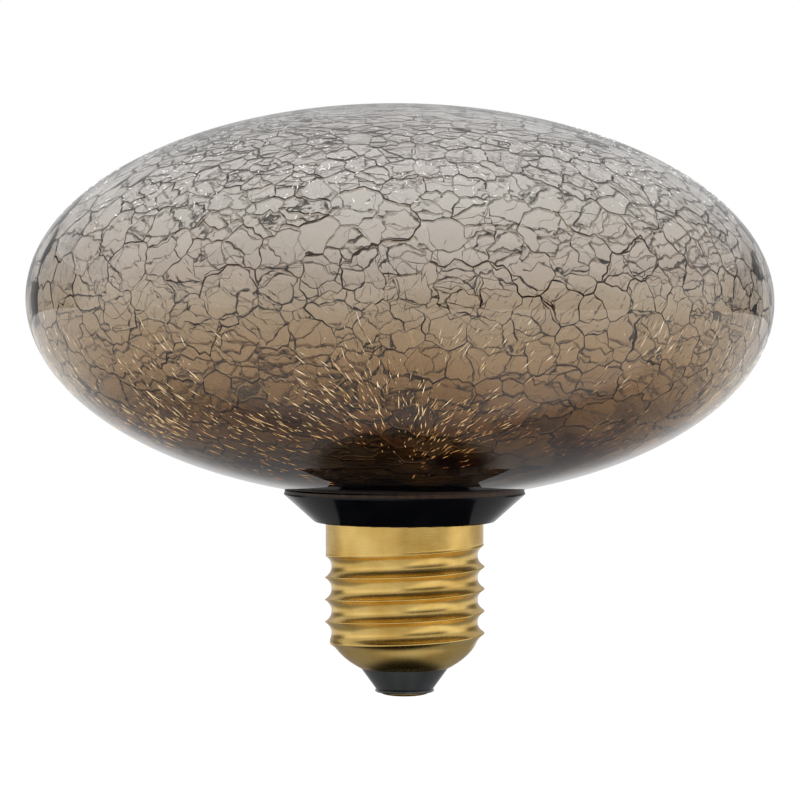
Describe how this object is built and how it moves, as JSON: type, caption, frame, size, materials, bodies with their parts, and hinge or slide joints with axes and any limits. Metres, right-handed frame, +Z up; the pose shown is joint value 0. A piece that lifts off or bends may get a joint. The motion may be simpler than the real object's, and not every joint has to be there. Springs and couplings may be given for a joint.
{
  "type": "crackle-glass decorative LED lamp",
  "caption": "Wide flattened lamp of crackled smoke-to-amber glass on a black conical collar with a brass Edison screw cap; LED module and driver inside.",
  "frame": {"origin": "centre of the flat on the brass centre contact, the lowest point of the lamp", "axes": "+Z up the lamp's axis towards the crown of the glass, cap down; +X to the right and +Y away from a viewer in front, so the glass body sits off its neck towards -X"},
  "size_m": [0.1219, 0.122, 0.0968],
  "materials": {
    "smoke_amber_glass": "blown glass with a crackled inner face, tinted smoke grey at the crown and amber below",
    "amber_silicone": "clear amber silicone",
    "black_collar_plastic": "gloss moulded",
    "black_pedestal_plastic": "fine satin moulded",
    "thermal_silicone": "matt",
    "coated_aluminium": "white solder mask on aluminium",
    "led_phosphor": "matt phosphor",
    "zinc_plated_steel": "zinc plated",
    "green_laminate": "solder-mask lacquer",
    "capacitor_sleeve": "shrunk sleeve",
    "ferrite": "sintered",
    "enamelled_copper": "enamelled wire",
    "resistor_lacquer": "lacquered",
    "moulding_compound": "matt moulded",
    "lead_insulation": "PVC",
    "solder": "tin solder",
    "rolled_brass": "lacquered rolled brass",
    "black_cap_glass": "pressed black glass"
  },
  "bodies": {
    "root": {"glass_bulb": "smoke_amber_glass", "glass_adhesive": "amber_silicone", "collar": "black_collar_plastic", "pedestal": "black_pedestal_plastic", "thermal_pad": "thermal_silicone", "led_board": "coated_aluminium", "led_packages": "led_phosphor", "led_retainer": "black_pedestal_plastic", "module_screws": "zinc_plated_steel", "driver_board": "green_laminate", "input_capacitor": "capacitor_sleeve", "output_capacitor": "capacitor_sleeve", "inductor_core": "ferrite", "inductor_winding": "enamelled_copper", "fusible_resistor": "resistor_lacquer", "bridge_rectifier": "moulding_compound", "driver_chip": "moulding_compound", "output_diode": "moulding_compound", "chip_resistors": "moulding_compound", "live_lead": "lead_insulation", "neutral_lead": "enamelled_copper", "led_lead_positive": "lead_insulation", "led_lead_negative": "lead_insulation", "solder_joints": "solder", "screw_shell": "rolled_brass", "cap_insulator": "black_cap_glass", "centre_contact": "rolled_brass"}
  },
  "joints": []
}
